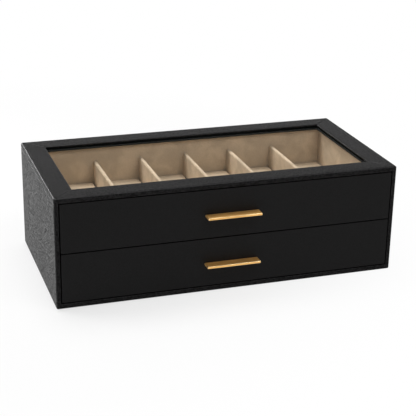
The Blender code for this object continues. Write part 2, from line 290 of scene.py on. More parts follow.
def trim(piece, point, normal):
    """Cuts the piece at a plane, drops what is on the normal's side and closes the cut."""
    nothing_picked(piece, "FACE")
    bpy.ops.object.mode_set(mode="EDIT")
    bpy.ops.mesh.select_all(action="SELECT")
    bpy.ops.mesh.bisect(
        plane_co=point, plane_no=normal.normalized(), use_fill=True, clear_outer=True, threshold=NEAR / 10
    )
    close_edit()


def score(piece, point, normal, test):
    """Divides the faces that pass the test where a plane crosses them."""
    pick_faces(piece, test)
    bpy.ops.mesh.bisect(plane_co=point, plane_no=normal, threshold=NEAR / 10)
    close_edit()


def draw_out(piece, move, test):
    """Extrudes the faces that pass the test."""
    pick_faces(piece, test)
    bpy.ops.mesh.extrude_region_move(TRANSFORM_OT_translate={"value": move})
    close_edit()


def join_flat_faces(piece):
    """Removes the scores between faces that lie in one plane."""
    take(piece)
    bpy.ops.object.mode_set(mode="EDIT")
    bpy.ops.mesh.select_all(action="SELECT")
    bpy.ops.mesh.dissolve_limited(angle_limit=math.radians(1))
    close_edit()


def net(piece, axis, count):
    """Scores the whole piece with evenly spaced planes across one axis."""
    places = [point.co[axis] for point in piece.data.vertices]
    low = min(places)
    step = (max(places) - low) / count
    normal = (X_AXIS, Y_AXIS, Z_AXIS)[axis]
    for index in range(1, count):
        score(piece, normal * (low + step * index), normal, lambda middle, facing: True)


def apply_modifier(piece, kind, **settings):
    """Adds a modifier to the piece and applies it."""
    take(piece)
    modifier = piece.modifiers.new(kind.capitalize(), kind)
    for setting, value in settings.items():
        setattr(modifier, setting, value)
    bpy.ops.object.modifier_apply(modifier=modifier.name)


def subtract(piece, cutter):
    """Cuts the cutter's shape out of the piece and removes the cutter."""
    apply_modifier(piece, "BOOLEAN", operation="DIFFERENCE", object=cutter, solver="EXACT")
    bpy.data.objects.remove(cutter)


def rod(name, start, end, radius, sides):
    """A closed rod from one point to another."""
    start = Vector(start)
    end = Vector(end)
    bpy.ops.object.select_all(action="DESELECT")
    bpy.ops.mesh.primitive_cylinder_add(
        vertices=sides,
        radius=radius,
        depth=(end - start).length,
        location=(start + end) / 2,
        rotation=(end - start).to_track_quat("Z", "Y").to_euler(),
    )
    bpy.ops.object.transform_apply(location=True, rotation=True, scale=True)
    piece = bpy.context.active_object
    piece.name = name
    return piece


def press_seam(piece, start, end, radius):
    """Presses a seam into the piece along a line."""
    subtract(piece, rod("seam", start, end, radius, 12))


def soften(piece, depth, scale):
    """Lets flat padded faces stray a little, as cloth over foam does."""
    clouds = bpy.data.textures.new("soft waves", "CLOUDS")
    clouds.noise_scale = scale
    clouds.noise_depth = 1
    apply_modifier(piece, "DISPLACE", texture=clouds, strength=depth, mid_level=0.5, texture_coords="LOCAL")


def finish_shading(piece, angle=32):
    """Smooth faces between sharp edges, with flat faces kept flat."""
    take(piece)
    bpy.ops.object.shade_smooth_by_angle(angle=math.radians(angle))
    apply_modifier(piece, "WEIGHTED_NORMAL", keep_sharp=True, weight=100)


def copy_of(piece, name, move):
    """A copy with its own mesh, moved, with its place in its mesh, that stands for nothing yet."""
    twin = piece.copy()
    for note in [key for key in twin.keys() if key.startswith("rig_")]:
        del twin[note]
    twin.data = piece.data.copy()
    twin.name = name
    twin.data.name = name
    bpy.context.scene.collection.objects.link(twin)
    take(twin)
    bpy.ops.transform.translate(value=move)
    bpy.ops.object.transform_apply(location=True, rotation=True, scale=True)
    return twin


def put_on(piece, finish, body, *nodes):
    """Gives the piece its finish and its body, and hides the nodes that it stands for."""
    piece.data.materials.clear()
    piece.data.materials.append(material_for(finish))
    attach(piece, body)
    if nodes:
        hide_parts(*nodes)


# Finishes: groups for effects that several of them share, then one material each


def set_inputs(tree, node, inputs):
    """Links each input of a node that is given a socket, and sets the others."""
    for key, value in inputs.items():
        if isinstance(value, bpy.types.NodeSocket):
            tree.links.new(value, node.inputs[key])
        else:
            node.inputs[key].default_value = value


def add_node(tree, kind, inputs, **properties):
    """Adds a node, sets its properties, and sets or links its inputs."""
    added = tree.nodes.new(kind)
    for name, value in properties.items():
        setattr(added, name, value)
    set_inputs(tree, added, inputs)
    return added


def maths(tree, operation, first, second=0.0, third=None):
    """The output of a Math node."""
    inputs = {0: first, 1: second}
    if third is not None:
        inputs[2] = third
    return add_node(tree, "ShaderNodeMath", inputs, operation=operation).outputs[0]


def ramp(tree, value, low, high, start=0.0, end=1.0):
    """A value eased from one range to another, held at both ends."""
    inputs = {"Value": value, "From Min": low, "From Max": high, "To Min": start, "To Max": end}
    return add_node(tree, "ShaderNodeMapRange", inputs, interpolation_type="SMOOTHSTEP").outputs["Result"]


def mix_colours(tree, factor, first, second):
    """A mix of two colours, each a socket or a plain colour, by a factor."""
    mixed = tree.nodes.new("ShaderNodeMix")
    mixed.data_type = "RGBA"
    sockets = [socket for socket in mixed.inputs if socket.type == "RGBA"]
    tree.links.new(factor, mixed.inputs[0])
    for socket, value in zip(sockets, (first, second)):
        if isinstance(value, bpy.types.NodeSocket):
            tree.links.new(value, socket)
        else:
            socket.default_value = (*value, 1.0)
    return next(socket for socket in mixed.outputs if socket.type == "RGBA")


def scaled(colour, share):
    """A colour made lighter or darker."""
    return tuple(channel * share for channel in colour)


def noise(tree, vector, scale, detail, roughness=0.5, distortion=0.0):
    """The value of a noise texture."""
    inputs = {"Vector": vector, "Scale": scale, "Detail": detail, "Roughness": roughness}
    inputs["Distortion"] = distortion
    return add_node(tree, "ShaderNodeTexNoise", inputs).outputs[0]


def new_group(name, vector, count, values):
    """An empty shader group, what it is given, and the node that takes the values it gives."""
    group = bpy.data.node_groups.new(name, "ShaderNodeTree")
    group.interface.new_socket(vector, in_out="INPUT", socket_type="NodeSocketVector")
    if count:
        group.interface.new_socket(count, in_out="INPUT", socket_type="NodeSocketFloat")
    for label in values:
        group.interface.new_socket(label, in_out="OUTPUT", socket_type="NodeSocketFloat")
    return group, group.nodes.new("NodeGroupInput").outputs, group.nodes.new("NodeGroupOutput")


def pebbled_grain():
    """Pebbles with creases between them, drawn out along one diagonal."""
    values = ("Height", "Creases", "Mottle")
    group, given, result = new_group("Pebbled grain", "Vector", "Pebbles per metre", values)
    turned = add_node(
        group,
        "ShaderNodeMapping",
        {"Vector": given["Vector"], "Rotation": (0.0, 0.0, -0.604), "Scale": (1.0, 1.5, 1.0)},
        vector_type="TEXTURE",
    ).outputs[0]
    pebbles = add_node(
        group,
        "ShaderNodeTexVoronoi",
        {"Vector": turned, "Scale": given["Pebbles per metre"], "Randomness": 0.9},
        feature="DISTANCE_TO_EDGE",
    )
    creases = ramp(group, pebbles.outputs["Distance"], 0.0, 0.22, 1.0, 0.0)
    fine = noise(group, turned, maths(group, "MULTIPLY", given["Pebbles per metre"], 2.6), 2.0)
    mottle = noise(group, turned, maths(group, "MULTIPLY", given["Pebbles per metre"], 0.66), 3.0, 0.65)
    tops = maths(group, "SUBTRACT", 1.0, creases)
    body = maths(group, "MULTIPLY_ADD", tops, 0.45, maths(group, "MULTIPLY", mottle, 0.35))
    height = maths(group, "MULTIPLY_ADD", fine, 0.25, body)
    shine = ramp(group, mottle, 0.41, 0.59)
    set_inputs(group, result, {"Height": height, "Creases": creases, "Mottle": shine})
    return group


def rounded_edges():
    """A mask that is 1 on the rounding of an edge and 0 on the flat faces beside it."""
    group, given, result = new_group("Rounded edges", "Normal", None, ("Mask",))
    size = add_node(group, "ShaderNodeVectorMath", {0: given["Normal"]}, operation="ABSOLUTE")
    x, y, z = add_node(group, "ShaderNodeSeparateXYZ", {0: size.outputs[0]}).outputs
    most = maths(group, "MAXIMUM", maths(group, "MAXIMUM", x, y), z)
    set_inputs(group, result, {"Mask": ramp(group, most, 0.99, 0.80)})
    return group


def handling():
    """Broad, faint patches where hands and cloths have passed."""
    group, given, result = new_group("Handling", "Vector", "Patches per metre", ("Mask",))
    patches = noise(group, given["Vector"], given["Patches per metre"], 2.0, distortion=0.4)
    set_inputs(group, result, {"Mask": ramp(group, patches, 0.35, 0.68)})
    return group


def fibres():
    """Short fibres lying every way, for suede, felt and paper."""
    group, given, result = new_group("Fibres", "Vector", "Fibres per metre", ("Height", "Tufts"))
    hairs = noise(group, given["Vector"], given["Fibres per metre"], 4.0, 0.65, 0.8)
    tufts = noise(group, given["Vector"], maths(group, "MULTIPLY", given["Fibres per metre"], 0.28), 2.0)
    set_inputs(group, result, {"Height": hairs, "Tufts": ramp(group, tufts, 0.32, 0.68)})
    return group


def brushing():
    """Fine streaks along X, as a belt leaves on metal."""
    group, given, result = new_group("Brushing", "Vector", None, ("Streaks", "Bands"))
    narrow = {"Vector": given["Vector"], "Scale": (28.0, 2600.0, 2600.0)}
    broad = {"Vector": given["Vector"], "Scale": (14.0, 700.0, 700.0)}
    streaks = noise(group, add_node(group, "ShaderNodeMapping", narrow).outputs[0], 1.0, 3.0)
    bands = noise(group, add_node(group, "ShaderNodeMapping", broad).outputs[0], 1.0, 2.0)
    values = {"Streaks": ramp(group, streaks, 0.3, 0.7), "Bands": ramp(group, bands, 0.35, 0.65)}
    set_inputs(group, result, values)
    return group


SHARED = {
    "Pebbled grain": pebbled_grain,
    "Rounded edges": rounded_edges,
    "Handling": handling,
    "Fibres": fibres,
    "Brushing": brushing,
}


def place_group(tree, name, vector, count=None):
    """Places a shared group in a material, with its count per metre, and gives its outputs."""
    placed = tree.nodes.new("ShaderNodeGroup")
    placed.node_tree = bpy.data.node_groups.get(name) or SHARED[name]()
    tree.links.new(vector, placed.inputs[0])
    if count is not None:
        placed.inputs[1].default_value = count
    return placed.outputs


def start_material(name):
    """A new material, with its tree, its shader and the outputs of Texture Coordinate."""
    material = bpy.data.materials.new(name.replace("_", " "))
    material.use_nodes = True
    tree = material.node_tree
    shader = tree.nodes["Principled BSDF"]
    return material, tree, shader, tree.nodes.new("ShaderNodeTexCoord").outputs


def set_shader(shader, **values):
    """Sets the shader's own plain values."""
    for name, value in values.items():
        shader.inputs[name.replace("_", " ").title().replace("Ior", "IOR")].default_value = value


def raise_relief(tree, shader, height, depth, strength=1.0):
    """Feeds a height into the shader's normal, as relief of a depth in metres."""
    bump = add_node(tree, "ShaderNodeBump", {"Height": height, "Distance": depth, "Strength": strength})
    tree.links.new(bump.outputs[0], shader.inputs["Normal"])


def grained_leatherette(finishes):
    """The wrap of the case: black and pebbled, burnished where it turns an edge, with a painted highlight
    that lightens its colour there.
    """
    material, tree, shader, place = start_material("grained_leatherette")
    grain = place_group(tree, "Pebbled grain", place["Object"], 1 / finishes.pebble)
    edges = place_group(tree, "Rounded edges", place["Normal"])
    hands = place_group(tree, "Handling", place["Object"], 14.0)
    colour = finishes.leather
    base = mix_colours(tree, grain["Mottle"], scaled(colour, 0.35), scaled(colour, 1.75))
    # Painted highlight: the colour is made up to five times lighter on the rounded edges.
    lighter_edges = mix_colours(tree, maths(tree, "MULTIPLY", edges["Mask"], 0.4), base, scaled(colour, 5.0))
    tree.links.new(lighter_edges, shader.inputs["Base Color"])
    rough = maths(tree, "MULTIPLY_ADD", grain["Creases"], 0.14, 0.5)
    rubbed = maths(tree, "MULTIPLY_ADD", edges["Mask"], -0.2, rough)
    tree.links.new(maths(tree, "MULTIPLY_ADD", hands["Mask"], 0.05, rubbed), shader.inputs["Roughness"])
    clear = maths(tree, "MULTIPLY_ADD", grain["Mottle"], 0.6, 0.26)
    open_pores = maths(tree, "MULTIPLY_ADD", grain["Creases"], -0.3, clear)
    burnished = maths(tree, "MULTIPLY_ADD", edges["Mask"], 0.4, open_pores)
    tree.links.new(burnished, shader.inputs["Coat Weight"])
    set_shader(shader, specular_ior_level=0.04, coat_roughness=0.24, coat_ior=1.16)
    raise_relief(tree, shader, grain["Height"], finishes.grain_depth)
    return material


def smooth_leatherette(finishes):
    """The drawer fronts: the same black with a grain that is hardly raised."""
    material, tree, shader, place = start_material("smooth_leatherette")
    grain = place_group(tree, "Pebbled grain", place["Object"], 1.3 / finishes.pebble)
    edges = place_group(tree, "Rounded edges", place["Normal"])
    hands = place_group(tree, "Handling", place["Object"], 9.0)
    colour = finishes.front_leather
    base = mix_colours(tree, grain["Mottle"], scaled(colour, 0.88), scaled(colour, 1.14))
    # Painted highlight: the colour is made lighter on the rounded edges of the front.
    lighter_edges = mix_colours(tree, maths(tree, "MULTIPLY", edges["Mask"], 0.3), base, scaled(colour, 3.0))
    tree.links.new(lighter_edges, shader.inputs["Base Color"])
    rough = maths(tree, "MULTIPLY_ADD", edges["Mask"], -0.1, 0.5)
    tree.links.new(maths(tree, "MULTIPLY_ADD", hands["Mask"], 0.05, rough), shader.inputs["Roughness"])
    set_shader(shader, specular_ior_level=0.1)
    raise_relief(tree, shader, grain["Height"], finishes.grain_depth * 0.3)
    return material


def taupe_suede(finishes):
    """Brushed suede: broad strokes of nap and short fibres."""
    material, tree, shader, place = start_material("taupe_suede")
    nap = place_group(tree, "Handling", place["Object"], 42.0)
    hair = place_group(tree, "Fibres", place["Object"], 2400.0)
    colour = finishes.suede
    brushed = mix_colours(tree, nap["Mask"], scaled(colour, 0.86), scaled(colour, 1.1))
    dark = mix_colours(tree, maths(tree, "MULTIPLY", hair["Tufts"], 0.26), brushed, scaled(colour, 0.55))
    tree.links.new(dark, shader.inputs["Base Color"])
    tree.links.new(maths(tree, "MULTIPLY_ADD", hair["Height"], 0.1, 0.84), shader.inputs["Roughness"])
    set_shader(shader, specular_ior_level=0.08, sheen_weight=0.08, sheen_roughness=0.4)
    raise_relief(tree, shader, hair["Height"], 0.0003, 0.6)
    return material


def brushed_brass(finishes):
    """Satin brass with streaks along the pull."""
    material, tree, shader, place = start_material("brushed_brass")
    lines = place_group(tree, "Brushing", place["Object"])
    edges = place_group(tree, "Rounded edges", place["Normal"])
    hands = place_group(tree, "Handling", place["Object"], 60.0)
    colour = finishes.brass
    base = mix_colours(tree, lines["Bands"], scaled(colour, 0.86), scaled(colour, 1.08))
    fine = mix_colours(tree, maths(tree, "MULTIPLY", lines["Streaks"], 0.22), base, scaled(colour, 0.7))
    # Painted highlight: the colour turns pale gold on the rounded edges of the pull.
    edge_highlight = mix_colours(tree, maths(tree, "MULTIPLY", edges["Mask"], 0.9), fine, (1.0, 0.84, 0.5))
    tree.links.new(edge_highlight, shader.inputs["Base Color"])
    rough = maths(tree, "MULTIPLY_ADD", lines["Streaks"], 0.1, 0.52)
    rubbed = maths(tree, "MULTIPLY_ADD", edges["Mask"], -0.3, rough)
    tree.links.new(maths(tree, "MULTIPLY_ADD", hands["Mask"], 0.06, rubbed), shader.inputs["Roughness"])
    set_shader(shader, metallic=0.88)
    raise_relief(tree, shader, lines["Streaks"], 0.00006)
    return material


def plated_steel(finishes):
    """Plated screws, turned bright."""
    material, tree, shader, place = start_material("plated_steel")
    hands = place_group(tree, "Handling", place["Object"], 400.0)
    colour = finishes.steel
    tree.links.new(mix_colours(tree, hands["Mask"], scaled(colour, 0.8), colour), shader.inputs["Base Color"])
    tree.links.new(maths(tree, "MULTIPLY_ADD", hands["Mask"], 0.15, 0.25), shader.inputs["Roughness"])
    set_shader(shader, metallic=1.0)
    return material


def fibrous(name, colour, count, depth, sheen):
    """A matt fibrous finish, for paper and felt."""
    material, tree, shader, place = start_material(name)
    hair = place_group(tree, "Fibres", place["Object"], count)
    edges = place_group(tree, "Rounded edges", place["Normal"])
    base = mix_colours(tree, hair["Tufts"], scaled(colour, 0.75), scaled(colour, 1.3))
    lighter_edges = mix_colours(tree, maths(tree, "MULTIPLY", edges["Mask"], 0.4), base, scaled(colour, 3.0))
    tree.links.new(lighter_edges, shader.inputs["Base Color"])
    tree.links.new(maths(tree, "MULTIPLY_ADD", hair["Height"], 0.16, 0.72), shader.inputs["Roughness"])
    set_shader(shader, specular_ior_level=0.12, sheen_weight=sheen)
    raise_relief(tree, shader, hair["Height"], depth, 0.7)
    return material


def black_paper_wrap(finishes):
    """Black paper round the drawer boards."""
    return fibrous("black_paper_wrap", finishes.paper, 1500.0, 0.00008, 0.0)


def black_felt(finishes):
    """Black felt, with a soft nap."""
    return fibrous("black_felt", finishes.felt, 1900.0, 0.0003, 0.15)


def moulded(name, colour, roughness, level):
    """A moulded finish with a faint texture, for plastic and rubber."""
    material, tree, shader, place = start_material(name)
    grain = place_group(tree, "Pebbled grain", place["Object"], 1800.0)
    hands = place_group(tree, "Handling", place["Object"], 30.0)
    base = mix_colours(tree, hands["Mask"], scaled(colour, 0.85), scaled(colour, 1.2))
    tree.links.new(base, shader.inputs["Base Color"])
    rough = maths(tree, "MULTIPLY_ADD", grain["Height"], 0.12, roughness)
    tree.links.new(rough, shader.inputs["Roughness"])
    set_shader(shader, specular_ior_level=level)
    raise_relief(tree, shader, grain["Height"], 0.00003, 0.6)
    return material


def guide_strip(finishes):
    """Slippery dark plastic."""
    return moulded("guide_strip", finishes.guide, 0.34, 0.4)


def bumper_rubber(finishes):
    """Matt black rubber."""
    return moulded("bumper_rubber", finishes.rubber, 0.66, 0.2)


def charcoal_strip(finishes):
    """Foam strip under the glass: charcoal on its upright faces, with painted shade that makes its level
    faces black where it carries the glass.
    """
    material, tree, shader, place = start_material("charcoal_strip")
    hair = place_group(tree, "Fibres", place["Object"], 1700.0)
    facing = add_node(tree, "ShaderNodeSeparateXYZ", {0: place["Normal"]})
    level = maths(tree, "ABSOLUTE", facing.outputs["Z"])
    colour = finishes.charcoal
    base = mix_colours(tree, hair["Tufts"], scaled(colour, 0.85), scaled(colour, 1.15))
    # Painted shade: faces that face up or down are made near black.
    tree.links.new(
        mix_colours(tree, ramp(tree, level, 0.3, 0.7), base, (0.0015, 0.0015, 0.0015)),
        shader.inputs["Base Color"],
    )
    tree.links.new(maths(tree, "MULTIPLY_ADD", hair["Height"], 0.1, 0.8), shader.inputs["Roughness"])
    set_shader(shader, specular_ior_level=0.05)
    raise_relief(tree, shader, hair["Height"], 0.0001, 0.6)
    return material


def window_glass(finishes):
    """A clear pane that lets the lamps through, wiped clean but for a faint haze."""
    material, tree, shader, place = start_material("window_glass")
    hands = place_group(tree, "Handling", place["Object"], 7.0)
    haze = mix_colours(tree, hands["Mask"], (0.02, 0.024, 0.022), (0.03, 0.034, 0.032))
    tree.links.new(haze, shader.inputs["Base Color"])
    tree.links.new(maths(tree, "MULTIPLY_ADD", hands["Mask"], 0.02, 0.02), shader.inputs["Roughness"])
    set_shader(shader, alpha=0.06, specular_ior_level=0.35)
    return material


RECIPES = {
    "grained_leatherette": grained_leatherette,
    "smooth_leatherette": smooth_leatherette,
    "taupe_suede": taupe_suede,
    "brushed_brass": brushed_brass,
    "plated_steel": plated_steel,
    "black_paper_wrap": black_paper_wrap,
    "black_felt": black_felt,
    "guide_strip": guide_strip,
    "bumper_rubber": bumper_rubber,
    "charcoal_strip": charcoal_strip,
    "window_glass": window_glass,
}


def material_for(finish):
    """The material of a finish, made the first time it is asked for."""
    made = bpy.data.materials.get(finish.replace("_", " "))
    return made or RECIPES[finish](bpy.context.scene.organizer_finishes)


# The case


def case_form(name):
    """The outside of the whole case with its edges rounded, which every wrapped board is cut from."""
    radius = bpy.context.scene.organizer_case.edge_radius
    form = block(name, case_low, case_high)
    round_edges(form, radius, 6, every_edge)
    return form


def mitre(piece, sign, level, keep):
    """Cuts a board's long end on the slant, at the top or bottom corner of one side."""
    corner = Vector((sign * case_high.x, 0, level))
    slope = Vector((sign * top_thickness, 0, -side_thickness if level > case_low.z else side_thickness))
    trim(piece, corner, slope * keep)


def corner_seams(piece, sign, level, inner):
    """Presses the slanting seam at one corner of the front rim."""
    sizes = bpy.context.scene.organizer_case
    outer = Vector((sign * case_high.x, case_low.y - sizes.seam_lift, level))
    inside = Vector((sign * (case_high.x - side_thickness), case_low.y - sizes.seam_lift, inner))
    reach = (inside - outer) * 0.15
    press_seam(piece, outer - reach, inside + reach, sizes.seam_radius * 0.75)


class ORGANIZER_OT_side_leathers(bpy.types.Operator):
    """Models the two wrapped sides, with the wrap seam under the top edge"""

    bl_idname = "organizer.side_leathers"
    bl_label = "Side leathers"

    def execute(self, context):
        sizes = context.scene.organizer_case
        room = Vector((fit_gap, fit_gap, fit_gap))
        shelf_low, shelf_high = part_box("middle_shelf")
        for side, sign in SIDES:
            inner = sign * (case_high.x - side_thickness)
            piece = case_form(f"{side}_side_leather")
            trim(piece, X_AXIS * inner, -sign * X_AXIS)
            mitre(piece, sign, case_high.z, -1)
            mitre(piece, sign, case_low.z, -1)
            round_edges(piece, sizes.opening_radius, 4, lies_on(x=inner, y=case_low.y))
            height = case_high.z - sizes.wrap_drop
            outside = sign * (case_high.x + sizes.seam_lift)
            press_seam(
                piece,
                (outside, case_low.y - side_thickness, height),
                (outside, case_high.y + side_thickness, height),
                sizes.seam_radius,
            )
            subtract(piece, block("shelf_room", shelf_low - room, shelf_high + room))
            corner_seams(piece, sign, case_high.z, top_low.z)
            corner_seams(piece, sign, case_low.z, bottom_high.z)
            finish_shading(piece)
            put_on(piece, "grained_leatherette", "case", f"{side}_side_panel")
        return {"FINISHED"}


class ORGANIZER_OT_top_frame(bpy.types.Operator):
    """Models the four wrapped rails round the window, mitred at its corners"""

    bl_idname = "organizer.top_frame"
    bl_label = "Top frame"

    def execute(self, context):
        self.rail("front", -Y_AXIS, X_AXIS, case_high.y, case_high.x, seat_half.y, window_half.y)
        self.rail("rear", Y_AXIS, X_AXIS, case_high.y, case_high.x, seat_half.y, window_half.y)
        self.rail("left", -X_AXIS, Y_AXIS, case_high.x, case_high.y, seat_half.x, window_half.x)
        self.rail("right", X_AXIS, Y_AXIS, case_high.x, case_high.y, seat_half.x, window_half.x)
        return {"FINISHED"}

    def rail(self, side, out, along, half_out, half_along, seat, window):
        """One rail, with the lip that covers the edge of the glass."""
        sizes = bpy.context.scene.organizer_case
        piece = case_form(f"{side}_rail_leather")
        trim(piece, Z_AXIS * top_low.z, -Z_AXIS)
        trim(piece, out * seat, -out)

        def on_inner_face(middle, facing):
            return facing.dot(out) < -ALIGNED

        score(piece, Z_AXIS * lip_bottom, Z_AXIS, on_inner_face)
        draw_out(
            piece,
            out * (window - seat),
            lambda middle, facing: on_inner_face(middle, facing) and middle.z > lip_bottom,
        )
        for end in (-1, 1):
            corner = out * half_out + along * (end * half_along)
            trim(piece, corner, along * end - out)
        for _, sign in SIDES:
            mitre(piece, sign, case_high.z, 1)
        edge = out * window
        window_edge = lies_on(y=edge.y, z=case_high.z) if out.x == 0 else lies_on(x=edge.x, z=case_high.z)
        round_edges(piece, sizes.window_radius, 4, window_edge)
        if side == "front":
            round_edges(piece, sizes.opening_radius, 4, lies_on(y=case_low.y, z=top_low.z))
        for end in (-1, 1):
            corner = out * half_out + along * (end * half_along)
            toward = out * window + along * (end * (half_along - half_out + window))
            lift = Z_AXIS * (case_high.z + sizes.seam_lift)
            press_seam(piece, corner + lift, toward * 1.02 - corner * 0.02 + lift, sizes.seam_radius * 0.8)
        if side == "front":
            corner_seams(piece, -1, case_high.z, top_low.z)
            corner_seams(piece, 1, case_high.z, top_low.z)
        finish_shading(piece)
        put_on(piece, "grained_leatherette", "case", f"{side}_rail")


class ORGANIZER_OT_bottom_leather(bpy.types.Operator):
    """Models the wrapped bottom of the case"""

    bl_idname = "organizer.bottom_leather"
    bl_label = "Bottom leather"

    def execute(self, context):
        sizes = context.scene.organizer_case
        piece = case_form("bottom_leather")
        trim(piece, Z_AXIS * bottom_high.z, Z_AXIS)
        for _, sign in SIDES:
            mitre(piece, sign, case_low.z, 1)
        round_edges(piece, sizes.opening_radius, 4, lies_on(y=case_low.y, z=bottom_high.z))
        for _, sign in SIDES:
            corner_seams(piece, sign, case_low.z, bottom_high.z)
        finish_shading(piece)
        put_on(piece, "grained_leatherette", "case", "bottom_panel")
        return {"FINISHED"}


class ORGANIZER_OT_back_leather(bpy.types.Operator):
    """Models the wrapped back, set in between the boards of the case"""

    bl_idname = "organizer.back_leather"
    bl_label = "Back leather"

    def execute(self, context):
        sizes = context.scene.organizer_case
        low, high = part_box("back_panel")
        piece = block("back_leather", low, high)
        round_edges(piece, sizes.opening_radius, 4, lies_on(y=high.y))
        finish_shading(piece)
        put_on(piece, "grained_leatherette", "case", "back_panel")
        return {"FINISHED"}


class ORGANIZER_OT_felts(bpy.types.Operator):
    """Models the felt under the case and the felt that each drawer slides on"""

    bl_idname = "organizer.felts"
    bl_label = "Felts"

    def execute(self, context):
        for node in ("base_felt", "lower_glide_sheet", "upper_glide_sheet"):
            low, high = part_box(node)
            piece = block(f"{node}_cloth", low, high)
            round_edges(piece, (high.z - low.z) * 0.8, 3, self.upright)
            round_edges(piece, (high.z - low.z) * 0.3, 2, lies_on(z=high.z), lies_on(z=low.z))
            finish_shading(piece)
            put_on(piece, "black_felt", "case", node)
        return {"FINISHED"}

    @staticmethod
    def upright(first, second):
        """A test for the upright edges at the corners."""
        return abs(first.z - second.z) > NEAR


class ORGANIZER_OT_bumpers(bpy.types.Operator):
    """Models the two rubber strips that the drawers close against"""

    bl_idname = "organizer.bumpers"
    bl_label = "Bumpers"

    def execute(self, context):
        for level in LEVELS:
            low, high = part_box(f"{level}_bumper")
            piece = block(f"{level}_bumper_strip", low, high)
            round_edges(piece, BUMPER_NOSE, 5, lies_on(y=low.y))
            finish_shading(piece)
            put_on(piece, "bumper_rubber", "case", f"{level}_bumper")
        return {"FINISHED"}


# The drawers


def screw_places(level):
    """The middle of each pull screw of a drawer, as x and z."""
    places = []
    for side, _ in SIDES:
        low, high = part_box(f"{level}_{side}_pull_screw")
        places.append(((low.x + high.x) / 2, (low.z + high.z) / 2))
    return places


class ORGANIZER_OT_drawer_fronts(bpy.types.Operator):
    """Models the wrapped fronts of the drawers"""

    bl_idname = "organizer.drawer_fronts"
    bl_label = "Drawer fronts"

    def execute(self, context):
        sizes = context.scene.organizer_drawers
        first = None
        for level in LEVELS:
            low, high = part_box(f"{level}_drawer_front")
            if first is None:
                first = self.front(low, high, sizes)
                start = low.copy()
                piece = first
            else:
                piece = copy_of(first, f"{level}_front_leather", low - start)
            put_on(piece, "smooth_leatherette", f"{level}_drawer", f"{level}_drawer_front")
        return {"FINISHED"}

    def front(self, low, high, sizes):
        """The lower front, with its screw holes."""
        piece = block("lower_front_leather", low, high)
        round_edges(
            piece,
            sizes.front_radius,
            4,
            lies_on(y=low.y),
            lambda first, second: abs(first.y - second.y) > NEAR,
        )
        round_edges(piece, sizes.front_radius * 0.4, 2, lies_on(y=high.y))
        for x, z in screw_places("lower"):
            start = low.y - side_thickness
            subtract(piece, rod("hole", (x, start, z), (x, high.y + fit_gap, z), sizes.screw_radius, 20))
            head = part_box("lower_left_pull_screw")
            wide = (head[1].x - head[0].x) / 2 + fit_gap
            seat = high.y - HEAD_ROOM_DEPTH
            subtract(piece, rod("head_room", (x, seat, z), (x, high.y + side_thickness, z), wide, 24))
        finish_shading(piece)
        return piece


class ORGANIZER_OT_pulls(bpy.types.Operator):
    """Models the flat brass pulls, each a plate with a flange under its rear edge"""

    bl_idname = "organizer.pulls"
    bl_label = "Pulls"

    def execute(self, context):
        sizes = context.scene.organizer_drawers
        low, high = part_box("lower_pull")
        plate_bottom = high.z - sizes.pull_thickness
        flange_front = high.y - sizes.pull_flange
        flange_x = high.x - sizes.pull_inset
        piece = block("lower_pull_plate", (low.x, low.y, plate_bottom), high)

        def underneath(middle, facing):
            return facing.z < -ALIGNED

        def under_flange(middle, facing):
            return underneath(middle, facing) and middle.y > flange_front and abs(middle.x) < flange_x

        score(piece, Y_AXIS * flange_front, Y_AXIS, underneath)
        score(piece, X_AXIS * flange_x, X_AXIS, underneath)
        score(piece, X_AXIS * -flange_x, X_AXIS, underneath)
        draw_out(piece, Z_AXIS * (low.z - plate_bottom), under_flange)
        join_flat_faces(piece)
        kept_sharp = (
            lies_on(y=high.y),
            lies_on(y=flange_front, z=plate_bottom),
            lies_on(x=flange_x, z=plate_bottom),
            lies_on(x=-flange_x, z=plate_bottom),
        )

        def rounded(first, second):
            return not any(test(first, second) for test in kept_sharp)

        round_edges(piece, sizes.pull_radius, 3, rounded)
        for x, z in screw_places("lower"):
            deep = flange_front + SCREW_SKIN
            subtract(piece, rod("hole", (x, deep, z), (x, high.y + fit_gap, z), sizes.screw_radius, 20))
        finish_shading(piece)
        upper_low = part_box("upper_pull")[0]
        twin = copy_of(piece, "upper_pull_plate", upper_low - low)
        put_on(piece, "brushed_brass", "lower_drawer", "lower_pull")
        put_on(twin, "brushed_brass", "upper_drawer", "upper_pull")
        return {"FINISHED"}


class ORGANIZER_OT_linings(bpy.types.Operator):
    """Models the suede linings round the inside of each drawer"""

    bl_idname = "organizer.linings"
    bl_label = "Linings"

    def execute(self, context):
        sizes = context.scene.organizer_drawers
        for side in ("front", "back", "left", "right"):
            low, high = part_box(f"lower_{side}_lining")
            piece = block(f"lower_{side}_suede", low, high)
            round_edges(piece, sizes.lining_radius, 4, lies_on(z=high.z))
            long_axis = 0 if high.x - low.x > high.y - low.y else 1
            net(piece, long_axis, 28)
            net(piece, 2, 7)
            soften(piece, sizes.softness * 0.6, LINING_WAVE)
            self.flatten(piece, low, high)
            finish_shading(piece, 45)
            other_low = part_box(f"upper_{side}_lining")[0]
            twin = copy_of(piece, f"upper_{side}_suede", other_low - low)
            put_on(piece, "taupe_suede", "lower_drawer", f"lower_{side}_lining")
            put_on(twin, "taupe_suede", "upper_drawer", f"upper_{side}_lining")
        return {"FINISHED"}

    @staticmethod
    def flatten(piece, low, high):
        """Keeps the soft faces inside the room that the lining has."""
        for point in piece.data.vertices:
            for axis in range(3):
                point.co[axis] = min(max(point.co[axis], low[axis]), high[axis])


